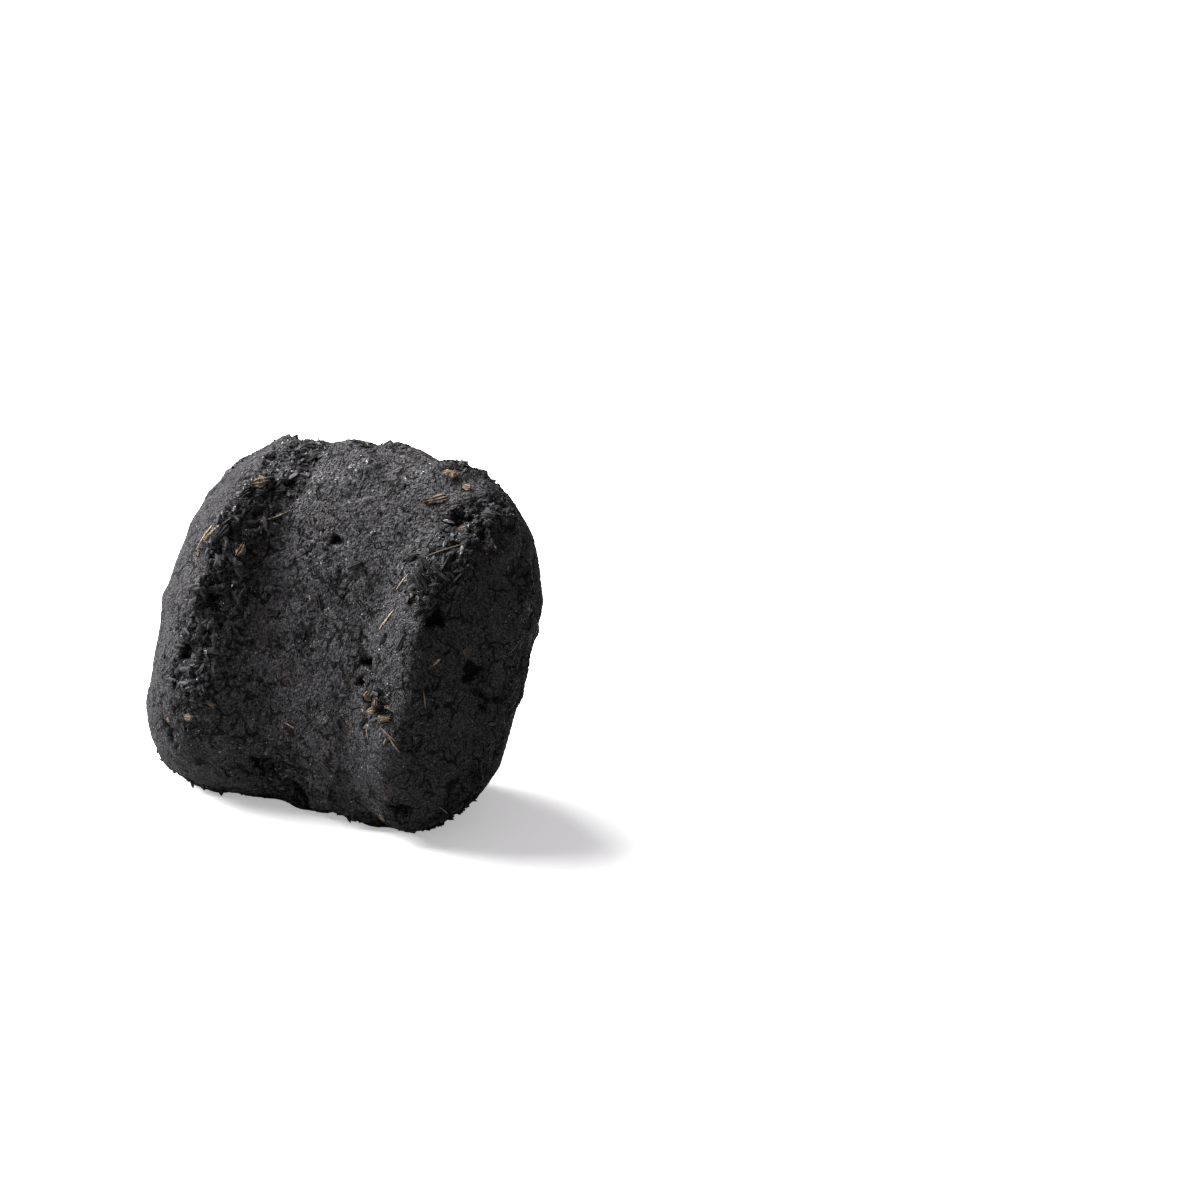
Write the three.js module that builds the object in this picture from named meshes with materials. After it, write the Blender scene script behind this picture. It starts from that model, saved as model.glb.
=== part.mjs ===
// A charcoal briquette: ground charcoal pressed in one piece into a two-lobed pillow.
// Millimetres, +Z up. X runs across the lobes, +Y points to the back, and the origin
// is the middle of the box's underside. The briquette stands on the flattened foot of
// its seam and leans back.

import * as THREE from 'three';
import { ImprovedNoise } from 'three/addons/math/ImprovedNoise.js';
import { mergeVertices } from 'three/addons/utils/BufferGeometryUtils.js';

// ---- driving dimensions ----

// The pillow in its own frame: u across the lobes, v along them, w out of the front.
const HALF_WIDTH = 29.4;
const HALF_LENGTH = 29.0;
const OUTLINE_SQUARENESS = 4.6;
const OUTLINE_SKEW = 0.115;
const OUTLINE_TAPER = -0.04;

// How far each corner of the outline is let out (+) or rounded off (-).
const CORNERS = [
  { angle: 45, fullness: -0.13 },
  { angle: 135, fullness: -0.1 },
  { angle: -135, fullness: 0.015 },
  { angle: -45, fullness: 0.027 },
];
const CORNER_SPREAD = 25;

// Height of each half over the seam: at the lobes, in the channel, and the rounding
// from the crown down to the seam.
const FRONT = { lobe: 21.6, channel: 12.8, edge: 2.6, round: 0.6 };
const BACK = { lobe: 19.2, channel: 14.0, edge: 5.0, round: 0.5 };

// Where each lobe of the front rises from the channel, where its crest runs, and how
// far beyond the crest it keeps swelling, as u at the top (v = 20), the middle (v = 0)
// and the bottom (v = -20).
const LEFT_FOOT = { top: -6.2, middle: -4.4, bottom: -1.2 };
const LEFT_CREST = { top: -12.2, middle: -15.8, bottom: -18.4 };
const RIGHT_FOOT = { top: 13.8, middle: 9.0, bottom: 8.8 };
const RIGHT_CREST = { top: 23.0, middle: 17.2, bottom: 15.4 };
const LINE_REACH = 20;
const SWELL = 3.6;

// The channel of the back runs straight.
const BACK_FOOT = 6;
const BACK_CREST = 15.5;

// How it stands: how far the front looks up, and how much of the foot is pressed flat.
const LEAN = 21;
const FOOT_FLAT = 2.4;

// Surface: broad unevenness, then the crumbled bands along the crests and the seam.
const SEED = 41;
const WAVE_LENGTH = 15;
const WAVE_HEIGHT = 0.55;
const SMOOTH_GRAIN = 0.12;
const CRUMB_LENGTH = 4.6;
const CRUMB_HEIGHT = 0.8;
const FINE_LENGTH = 3.1;
const FINE_HEIGHT = 0.35;
const SEAM_BAND = 4.2;
const CREST_BAND = 3.8;

// Loose lumps and the holes that lumps have left, scattered over the crumbled bands.
const LUMPS = 480;
const LUMP_SIZE = [2.2, 3.6];
const LUMP_HEIGHT = [0.3, 0.85];
const HOLE_SHARE = 0.38;

// Holes and dents of the front, by place, width across, length along and depth.
const DENTS = [
  { u: -13.2, v: 24.0, across: 1.7, along: 2.2, depth: 1.0 },
  { u: -13.4, v: 1.2, across: 2.4, along: 3.4, depth: 1.1 },
  { u: -17.4, v: -6.1, across: 1.8, along: 2.2, depth: 0.8 },
  { u: -18.4, v: -10.5, across: 1.7, along: 2.4, depth: 0.8 },
  { u: -19.8, v: -19.8, across: 1.5, along: 3.2, depth: 0.7 },
  { u: -6.3, v: -22.6, across: 3.0, along: 2.2, depth: 1.3 },
  { u: -1.5, v: -26.2, across: 2.4, along: 3.0, depth: 1.3 },
  { u: -7.5, v: 26.6, across: 3.0, along: 3.2, depth: 0.8 },
  { u: 2.2, v: 14.3, across: 2.0, along: 1.6, depth: 0.6 },
  { u: 20.0, v: 20.5, across: 2.6, along: 2.0, depth: 1.2 },
  { u: 21.7, v: 5.8, across: 1.9, along: 2.0, depth: 0.9 },
  { u: 10.9, v: -2.9, across: 2.0, along: 1.8, depth: 1.5 },
  { u: 9.9, v: -5.9, across: 1.7, along: 1.8, depth: 1.1 },
  { u: 12.0, v: -8.6, across: 2.0, along: 2.0, depth: 1.4 },
  { u: 15.8, v: -8.9, across: 3.0, along: 1.9, depth: 1.3 },
  { u: 26.0, v: -0.4, across: 2.0, along: 2.8, depth: 0.9 },
  { u: 18.0, v: -24.6, across: 2.8, along: 1.8, depth: 0.9 },
];

// Splinters and lumps that stand proud of the front, in the same measures.
const CHUNKS = [
  { u: 14.8, v: 10.6, across: 2.8, along: 2.2, depth: 0.9 },
  { u: 20.0, v: 12.0, across: 3.6, along: 2.2, depth: 1.1 },
  { u: 17.4, v: 17.8, across: 3.2, along: 2.4, depth: 0.9 },
  { u: 17.0, v: 3.0, across: 2.2, along: 3.0, depth: 0.7 },
  { u: -8.2, v: 2.8, across: 2.1, along: 2.2, depth: 0.6 },
  { u: -11.4, v: 10.6, across: 2.2, along: 1.8, depth: 0.6 },
  { u: -11.8, v: 20.8, across: 2.2, along: 2.4, depth: 0.8 },
  { u: -11.6, v: -3.6, across: 2.2, along: 2.6, depth: 0.7 },
  { u: -15.4, v: -16.2, across: 2.4, along: 2.0, depth: 0.6 },
  { u: -13.4, v: 26.6, across: 3.0, along: 2.6, depth: 0.9 },
  { u: -2.0, v: 27.8, across: 2.8, along: 2.4, depth: 0.6 },
  { u: 13.4, v: -11.8, across: 2.0, along: 2.2, depth: 0.7 },
  { u: 25.4, v: -19.8, across: 2.4, along: 3.0, depth: 0.7 },
];

// Fineness of the surface: each face of an icosahedron is split this many times, and
// the points then slide along the surface in this many steps until they lie evenly.
const SPLITS = 22;
const SLIDES = 40;

// ---- the pillow ----

const random = () => THREE.MathUtils.seededRandom();
const between = ([low, high]) => low + (high - low) * random();
const noise = new ImprovedNoise();

const smoothStep = THREE.MathUtils.smoothstep;

// A gently bent line along a lobe, through its three given places.
function lineAt(line, v) {
  const t = THREE.MathUtils.clamp(v, -1.3 * LINE_REACH, 1.3 * LINE_REACH) / LINE_REACH;
  const slope = (line.top - line.bottom) / 2;
  const bend = (line.top + line.bottom) / 2 - line.middle;
  return line.middle + slope * t + bend * t * t;
}

// 0 in the channel, 1 on a lobe.
function lobeShare(u, v, front) {
  if (!front) {
    return smoothStep(Math.abs(u), BACK_FOOT, BACK_CREST + SWELL);
  }
  const leftFoot = lineAt(LEFT_FOOT, v);
  const leftFull = lineAt(LEFT_CREST, v) - SWELL;
  const rightFoot = lineAt(RIGHT_FOOT, v);
  const rightFull = lineAt(RIGHT_CREST, v) + SWELL;
  const left = smoothStep((leftFoot - u) / (leftFoot - leftFull), 0, 1);
  const right = smoothStep((u - rightFoot) / (rightFull - rightFoot), 0, 1);
  return Math.max(left, right);
}

// How far out a place lies in the outline: 0 in the middle, 1 on the seam.
function outwardness(u, v) {
  const width = HALF_WIDTH * (1 - OUTLINE_TAPER * v / HALF_LENGTH);
  const x = (u - OUTLINE_SKEW * v) / width;
  const y = v / HALF_LENGTH;
  const angle = THREE.MathUtils.radToDeg(Math.atan2(y, x));
  let reach = 1;
  for (const corner of CORNERS) {
    const turn = THREE.MathUtils.euclideanModulo(angle - corner.angle + 180, 360) - 180;
    reach += corner.fullness * Math.exp(-((turn / CORNER_SPREAD) ** 2));
  }
  const n = OUTLINE_SQUARENESS;
  return (Math.abs(x) ** n + Math.abs(y) ** n) ** (1 / n) / reach;
}

// Height of the surface over the seam's plane.
function heightAt(u, v, front) {
  const half = front ? FRONT : BACK;
  const crown = half.channel + (half.lobe - half.channel) * lobeShare(u, v, front);
  const out = Math.min(outwardness(u, v), 1);
  return crown * (1 - out ** half.edge) ** half.round;
}

function isInside(point) {
  const inOutline = outwardness(point.x, point.y) < 1;
  return inOutline && Math.abs(point.z) < heightAt(point.x, point.y, point.z >= 0);
}

// Turns evenly spread directions into ones that spread evenly over the flat pillow.
function towards(direction) {
  direction.z *= FRONT.lobe / HALF_WIDTH;
  return direction.normalize();
}

// Each point's neighbours in the skin of triangles.
function neighboursOf(skin) {
  const corners = skin.index.array;
  const around = Array.from({ length: skin.attributes.position.count }, () => []);
  for (let i = 0; i < corners.length; i += 3) {
    around[corners[i]].push(corners[i + 1]);
    around[corners[i + 1]].push(corners[i + 2]);
    around[corners[i + 2]].push(corners[i]);
  }
  return around;
}

// The pillow's surface along a direction from its middle.
function surfaceAlong(direction) {
  const probe = new THREE.Vector3();
  let near = 0;
  let far = 2 * HALF_WIDTH;
  for (let step = 0; step < 26; step += 1) {
    const middle = (near + far) / 2;
    probe.copy(direction).multiplyScalar(middle);
    if (isInside(probe)) {
      near = middle;
    } else {
      far = middle;
    }
  }
  return probe.copy(direction).multiplyScalar(near);
}

// ---- the surface's relief ----

// 1 where the charcoal has crumbled: along the crests and the seam. 0 where the
// mould has left it smooth.
function crumbled(point) {
  const seam = Math.exp(-((point.z / SEAM_BAND) ** 2));
  let crest;
  if (point.z >= 0) {
    const fromLeft = point.x - lineAt(LEFT_CREST, point.y) - 1.5;
    const fromRight = point.x - lineAt(RIGHT_CREST, point.y);
    const left = Math.exp(-((fromLeft / CREST_BAND) ** 2));
    const right = Math.exp(-((fromRight / CREST_BAND) ** 2));
    crest = Math.max(left, right);
  } else {
    crest = Math.exp(-(((Math.abs(point.x) - BACK_CREST) / CREST_BAND) ** 2));
  }
  const patchy = 0.75 + 0.5 * noise.noise(point.x / 9, point.y / 9, point.z / 9 + SEED);
  return THREE.MathUtils.clamp(Math.max(seam, crest) * patchy, 0, 1);
}

function noiseAt(point, length, shift) {
  return noise.noise(point.x / length + shift, point.y / length, point.z / length - shift);
}

// A soft mound of height 1 that ends at distance 1.
function mound(distance) {
  return distance < 1 ? (1 - distance * distance) ** 2 : 0;
}

function scatterLumps() {
  THREE.MathUtils.seededRandom(SEED);
  const lumps = [];
  while (lumps.length < LUMPS) {
    const tilt = Math.acos(2 * random() - 1);
    const turn = 2 * Math.PI * random();
    const direction = new THREE.Vector3().setFromSphericalCoords(1, tilt, turn);
    const centre = surfaceAlong(towards(direction));
    const size = between(LUMP_SIZE);
    const height = between(LUMP_HEIGHT) * (random() < HOLE_SHARE ? -1 : 1);
    if (random() < 0.06 + crumbled(centre)) {
      lumps.push({ centre, size, height });
    }
  }
  return lumps;
}

// The named dents and chunks of the front.
function namedRelief(point) {
  if (point.z < 0) {
    return 0;
  }
  const rise = (spot) => {
    const x = (point.x - spot.u) / (1.25 * spot.across);
    const y = (point.y - spot.v) / (1.25 * spot.along);
    return spot.depth * mound(Math.hypot(x, y));
  };
  const raised = CHUNKS.reduce((sum, chunk) => sum + rise(chunk), 0);
  return DENTS.reduce((sum, dent) => sum - rise(dent), raised);
}

// How far the surface stands out of the plain pillow at a point.
function reliefAt(point, lumps) {
  const loose = crumbled(point);
  let relief = WAVE_HEIGHT * noiseAt(point, WAVE_LENGTH, 3);
  relief += SMOOTH_GRAIN * noiseAt(point, CRUMB_LENGTH, 7);
  relief += loose * CRUMB_HEIGHT * noiseAt(point, CRUMB_LENGTH, 11);
  relief += loose * FINE_HEIGHT * noiseAt(point, FINE_LENGTH, 17);
  for (const lump of lumps) {
    const distance = point.distanceTo(lump.centre);
    relief += lump.height * mound(distance / lump.size);
  }
  return relief + namedRelief(point);
}

// ---- the briquette as it stands ----

// The frame it stands in, from the pillow's own u, v and w.
function standingPose() {
  const lean = THREE.MathUtils.degToRad(LEAN);
  const up = new THREE.Vector3(0, Math.sin(lean), Math.cos(lean));
  const out = new THREE.Vector3(0, -Math.cos(lean), Math.sin(lean));
  const across = new THREE.Vector3(1, 0, 0);
  return new THREE.Matrix4().makeBasis(across, up, out);
}

// The plain pillow as a closed skin of small triangles of even size.
function plainPillow() {
  const ball = new THREE.IcosahedronGeometry(1, SPLITS);
  ball.deleteAttribute('normal');
  ball.deleteAttribute('uv');
  const skin = mergeVertices(ball);
  const position = skin.attributes.position;
  const around = neighboursOf(skin);
  let points = around.map((_, i) => {
    const direction = new THREE.Vector3().fromBufferAttribute(position, i);
    return surfaceAlong(towards(direction));
  });
  for (let step = 0; step < SLIDES; step += 1) {
    points = around.map((neighbours, i) => {
      const pull = new THREE.Vector3();
      let total = 0;
      for (const j of neighbours) {
        const weight = points[i].distanceTo(points[j]);
        pull.addScaledVector(points[j], weight);
        total += weight;
      }
      pull.divideScalar(total).lerp(points[i], 0.5);
      return surfaceAlong(pull.normalize());
    });
  }
  skin.setFromPoints(points);
  return skin;
}

// Pushes the plain pillow's skin in and out by the relief.
function crumblePillow(skin) {
  const lumps = scatterLumps();
  const position = skin.attributes.position;
  const point = new THREE.Vector3();
  for (let i = 0; i < position.count; i += 1) {
    point.fromBufferAttribute(position, i);
    point.setLength(point.length() + reliefAt(point, lumps));
    position.setXYZ(i, point.x, point.y, point.z);
  }
}

// Presses the lowest part of the foot flat.
function flattenFoot(geometry) {
  geometry.computeBoundingBox();
  const floor = geometry.boundingBox.min.z + FOOT_FLAT;
  const position = geometry.attributes.position;
  for (let i = 0; i < position.count; i += 1) {
    position.setZ(i, Math.max(position.getZ(i), floor));
  }
}

// Moves the middle of the box's underside to the origin.
function standOnOrigin(geometry) {
  geometry.computeBoundingBox();
  const middle = geometry.boundingBox.getCenter(new THREE.Vector3());
  geometry.translate(-middle.x, -middle.y, -geometry.boundingBox.min.z);
}

const geometry = plainPillow();
crumblePillow(geometry);
geometry.applyMatrix4(standingPose());
flattenFoot(geometry);
standOnOrigin(geometry);
geometry.computeVertexNormals();

const charcoal = new THREE.MeshStandardMaterial({
  color: 0x2e2d2f,
  roughness: 0.85,
  metalness: 0,
});

const briquette = new THREE.Mesh(geometry, charcoal);
briquette.name = 'briquette';

const group = new THREE.Group();
group.name = 'charcoal briquette';
group.add(briquette);

export default group;
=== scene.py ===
"""The looks of a pressed charcoal briquette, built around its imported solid.

The pillow of the solid is copied at a finer grid and gets its flakes, splinters and
pits. Crumbs, char flakes, wood splinters and bright specks are then bedded in it.
Lengths are metres. Places on the front are given on the pillow itself, in millimetres:
u across the lobes, v along them and w out of the front.
"""

import math

import bmesh
import bpy
import numpy as np
from bpy.props import FloatProperty, FloatVectorProperty, IntProperty, PointerProperty
from mathutils import Matrix, Vector
from mathutils.bvhtree import BVHTree


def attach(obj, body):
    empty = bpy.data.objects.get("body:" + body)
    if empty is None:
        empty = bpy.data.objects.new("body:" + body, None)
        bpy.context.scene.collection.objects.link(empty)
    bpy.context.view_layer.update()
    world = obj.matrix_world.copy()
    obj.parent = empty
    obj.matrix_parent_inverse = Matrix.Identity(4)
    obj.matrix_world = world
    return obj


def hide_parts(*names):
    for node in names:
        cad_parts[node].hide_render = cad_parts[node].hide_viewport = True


bl_info = {
    "name": "Charcoal briquette",
    "version": (1, 0, 0),
    "blender": (4, 5, 0),
    "location": "3D View > Sidebar > Briquette",
    "description": "Builds a pressed charcoal briquette with its crumbs and splinters",
    "category": "Object",
}

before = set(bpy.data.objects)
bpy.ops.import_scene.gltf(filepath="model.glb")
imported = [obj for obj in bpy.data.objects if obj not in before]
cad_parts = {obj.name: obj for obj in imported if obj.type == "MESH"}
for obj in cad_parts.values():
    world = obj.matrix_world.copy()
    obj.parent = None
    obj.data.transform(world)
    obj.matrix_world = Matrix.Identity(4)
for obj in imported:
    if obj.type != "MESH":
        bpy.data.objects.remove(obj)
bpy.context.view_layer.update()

MM = 0.001

# ---- the pillow, as the solid has it ----

LEAN = math.radians(21)
MIDDLE = Vector((0.470, -0.296, 27.181)) * MM
ACROSS = Vector((1, 0, 0))
ALONG = Vector((0, math.sin(LEAN), math.cos(LEAN)))
OUT = Vector((0, -math.cos(LEAN), math.sin(LEAN)))

# The crests of the front's lobes, as u at v = 20, 0 and -20, and of the back's.
LEFT_CREST = (-12.2, -15.8, -18.4)
RIGHT_CREST = (23.0, 17.2, 15.4)
BACK_CREST = 15.5

# Half the width of the crumbled bands along the crests and the seam.
CREST_BAND = 4.2
SEAM_BAND = 4.6

# ---- small things at their own places on the front ----

# Holes: u, v, half the width across, half the length along, depth.
HOLES = (
    (-13.2, 24.0, 0.9, 1.3, 1.0),
    (-13.6, 2.6, 0.8, 1.1, 0.9),
    (-12.6, -0.6, 0.7, 1.0, 0.8),
    (-17.4, -6.1, 1.1, 1.3, 1.0),
    (-18.4, -10.5, 0.9, 1.5, 0.9),
    (-6.3, -22.6, 1.7, 1.3, 1.3),
    (-1.5, -26.0, 1.5, 1.6, 1.0),
    (2.2, 14.3, 1.1, 0.7, 0.8),
    (20.0, 20.5, 1.6, 1.0, 1.2),
    (21.7, 5.8, 1.1, 1.2, 1.0),
    (10.9, -2.9, 1.2, 0.9, 1.5),
    (9.9, -5.9, 0.8, 0.9, 1.0),
    (12.0, -8.6, 1.2, 1.1, 1.3),
    (15.8, -8.9, 2.0, 1.1, 1.2),
    (26.0, -1.6, 0.9, 1.5, 0.9),
    (17.6, -24.6, 1.6, 0.9, 0.8),
)

# Cracks: u and v of one end, u and v of the other, half the width, depth.
CRACKS = (
    (-20.6, -17.6, -18.6, -22.2, 0.35, 0.8),
    (27.0, -3.4, 27.8, -8.0, 0.3, 0.7),
    (-2.0, -4.0, -1.0, -9.5, 0.22, 0.35),
    (3.4, 8.4, 9.6, 10.4, 0.25, 0.4),
    (-8.6, -8.6, -3.6, -9.2, 0.2, 0.4),
    (19.0, -12.0, 22.4, -18.0, 0.2, 0.4),
)

# Wood strands: u and v of one end and the other, width, tone (0 brown, 1 pale).
STRANDS = (
    (-14.4, 16.0, -18.6, 9.4, 0.34, 0.85),
    (-13.8, 15.0, -17.4, 10.8, 0.22, 0.95),
    (-10.9, 14.2, -6.4, 17.4, 0.24, 0.8),
    (-10.2, 15.2, -8.4, 15.9, 0.2, 0.6),
    (17.6, 14.4, 22.6, 17.2, 0.3, 0.35),
    (13.9, 8.8, 15.6, 11.6, 0.26, 0.7),
    (12.9, 3.4, 14.5, 6.0, 0.24, 0.9),
    (12.2, 2.4, 13.2, 4.4, 0.2, 0.8),
    (17.6, -12.6, 19.2, -14.6, 0.26, 0.9),
    (16.0, -11.4, 18.6, -13.0, 0.22, 0.75),
    (12.8, -11.6, 13.6, -14.2, 0.2, 0.6),
    (21.6, -4.6, 21.9, -7.6, 0.2, 0.4),
    (21.4, -22.4, 22.8, -24.6, 0.26, 0.75),
    (-2.2, -14.6, -0.6, -15.2, 0.24, 0.7),
)

# Chips of wood: u, v, length, width, thickness, turn in degrees, tone.
CHIPS = (
    (-11.6, 20.9, 2.4, 1.9, 0.8, 30, 0.42),
    (-16.9, 11.6, 1.6, 1.0, 0.6, 60, 0.7),
    (-17.9, 9.0, 1.2, 0.7, 0.5, 75, 0.8),
    (-11.4, 10.6, 2.1, 1.7, 0.7, 75, 0.22),
    (15.6, 26.4, 1.9, 1.5, 0.8, 10, 0.9),
    (18.6, 24.8, 1.5, 1.2, 0.6, 40, 0.9),
    (21.2, 19.0, 2.4, 1.2, 0.7, 25, 0.3),
    (12.2, -7.6, 1.7, 1.5, 0.9, 70, 0.6),
    (13.4, -9.6, 1.6, 1.3, 0.9, 20, 0.5),
    (14.4, -7.9, 1.5, 1.0, 0.9, 100, 0.3),
    (16.6, -8.3, 2.5, 1.0, 0.9, 5, 0.5),
    (16.4, -10.1, 2.2, 1.0, 0.9, 12, 0.4),
    (-15.8, -16.0, 1.4, 1.2, 0.5, 0, 0.35),
    (-12.6, -13.4, 1.7, 0.9, 0.5, 150, 0.3),
    (-19.8, -17.2, 1.0, 0.7, 0.4, 60, 0.8),
    (-5.0, -20.0, 0.8, 0.7, 0.4, 20, 0.3),
    (14.4, -26.4, 1.5, 1.0, 0.5, 80, 0.6),
    (15.4, 22.6, 3.2, 1.8, 0.5, 40, 0.03),
    (25.4, 1.4, 2.6, 1.6, 0.5, 110, 0.03),
)

# Lumps of char with the grain of the wood they were: u, v, length, width, thickness,
# turn in degrees.
CHAR_LUMPS = (
    (21.4, 13.8, 4.4, 0.7, 1.2, 74),
    (22.8, 11.2, 3.4, 0.8, 1.1, 48),
    (14.9, 13.6, 2.6, 0.9, 0.9, 25),
    (-12.6, 4.4, 2.4, 1.5, 0.8, 40),
    (-14.4, 13.0, 2.6, 1.6, 0.8, 60),
    (-13.4, 18.6, 2.8, 1.5, 0.8, 55),
    (-9.6, 19.2, 2.6, 1.4, 0.7, 20),
    (17.4, 1.8, 2.8, 1.2, 0.7, 70),
    (13.4, 1.0, 2.4, 1.0, 0.7, 62),
    (-16.2, -3.6, 2.2, 1.3, 0.8, 65),
    (12.0, -11.6, 2.4, 1.2, 0.8, 60),
    (-16.6, -13.6, 2.0, 1.2, 0.8, 20),
    (1.4, 4.6, 2.4, 1.1, 0.6, 110),
    (6.2, 11.2, 2.4, 1.0, 0.6, 35),
)

# A larger piece of char at the right crest, made of thin layers: u and v of its
# middle, length and width, turn in degrees, how many layers.
CHAR_PIECE = (18.6, 12.0, 6.6, 4.4, -36, 15)

# Small bits drawn at random: the stored share that says where they lie, what is added
# to the seed, shortest and longest in millimetres, width and thickness as shares of the
# length, how far they tip at most in radians, how deep they are bedded as a share of
# the length, and how ragged they are in millimetres.
BITS = {
    "crumbs": ("bits", 100, 0.3, 0.95, 0.7, 0.5, 0.6, 0.24, 0.12),
    "char_flakes": ("bits", 200, 0.6, 2.3, 0.36, 0.16, 0.4, 0.04, 0.1),
    "wood_splinters": ("sprinkle", 300, 0.5, 1.9, 0.22, 0.14, 0.16, 0.03, 0.08),
    "bright_specks": ("sprinkle", 400, 0.14, 0.36, 0.7, 0.4, 0.8, 0.02, 0.05),
}
BIT_SIDES = 6

# Millimetres that lumps lie below the surface and chips above it, and the share of
# their stated size that chips get.
LUMP_SUNK = 0.1
CHIP_RAISED = 0.05
CHIP_TRIM = 0.9

# Millimetres: points closer than this are one, how far out a place on the front is
# looked for, and how far to each side the surface is felt for its direction.
WELD = 0.002
FAR_OUT = 45
BESIDE = 0.8

STRAND_SIDES = 5
STRAND_STEPS = 9

# Added to a width that may be nothing before something is divided by it.
NEARLY_NOTHING = 1e-6


class BriquetteSizes(bpy.types.PropertyGroup):
    """Sizes of the surface and how many small things lie in it."""

    grid: FloatProperty(
        name="Surface grid",
        description="Spacing of the fine surface's points",
        default=0.385 * MM,
        min=0.2 * MM,
        unit="LENGTH",
    )
    flake: FloatProperty(
        name="Flake size",
        description="Width of the tilted flakes in the crumbled bands",
        default=2.3 * MM,
        unit="LENGTH",
    )
    flake_rise: FloatProperty(
        name="Flake steepness",
        description="How steeply a flake is tilted",
        default=0.36,
    )
    splinter: FloatProperty(
        name="Splinter size",
        description="Width of the pressed splinters",
        default=0.95 * MM,
        unit="LENGTH",
    )
    splinter_rise: FloatProperty(
        name="Splinter steepness",
        description="How steeply a pressed splinter is tilted",
        default=0.42,
    )
    pit: FloatProperty(
        name="Pit depth",
        description="Depth of the small holes between the flakes",
        default=0.55 * MM,
        unit="LENGTH",
    )
    crumbs: IntProperty(
        name="Crumbs",
        description="Crumbs to a square metre of crumbled surface",
        default=2_200_000,
    )
    flakes: IntProperty(
        name="Char flakes",
        description="Char flakes to a square metre of crumbled surface",
        default=2_000_000,
    )
    splinters: IntProperty(
        name="Wood splinters",
        description="Wood splinters to a square metre of surface",
        default=48_000,
    )
    specks: IntProperty(
        name="Bright specks",
        description="Bright specks to a square metre of surface",
        default=120_000,
    )
    seed: IntProperty(
        name="Seed",
        description="Start of every random draw",
        default=7,
    )


class BriquetteColours(bpy.types.PropertyGroup):
    """Colours of the briquette and of the floor."""

    char: FloatVectorProperty(
        name="Char",
        description="Darkest charcoal",
        subtype="COLOR",
        size=3,
        default=(0.0062, 0.006, 0.0065),
    )
    dust: FloatVectorProperty(
        name="Charcoal dust",
        description="Pressed charcoal dust between the flakes",
        subtype="COLOR",
        size=3,
        default=(0.112, 0.1075, 0.1135),
    )
    wood: FloatVectorProperty(
        name="Pale wood",
        description="Unburnt wood",
        subtype="COLOR",
        size=3,
        default=(0.52, 0.385, 0.26),
    )
    toasted: FloatVectorProperty(
        name="Toasted wood",
        description="Half burnt wood",
        subtype="COLOR",
        size=3,
        default=(0.085, 0.052, 0.034),
    )
    speck: FloatVectorProperty(
        name="Bright speck",
        description="Bright mineral specks",
        subtype="COLOR",
        size=3,
        default=(0.55, 0.55, 0.56),
    )
    floor: FloatVectorProperty(
        name="Floor",
        description="Floor of the stage",
        subtype="COLOR",
        size=3,
        default=(0.93, 0.93, 0.93),
    )


# ---- building node trees ----


def feed(tree, value, socket):
    """Gives a socket a value, or joins another node's output to it."""
    if isinstance(value, bpy.types.NodeSocket):
        tree.links.new(value, socket)
    else:
        socket.default_value = value


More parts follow.
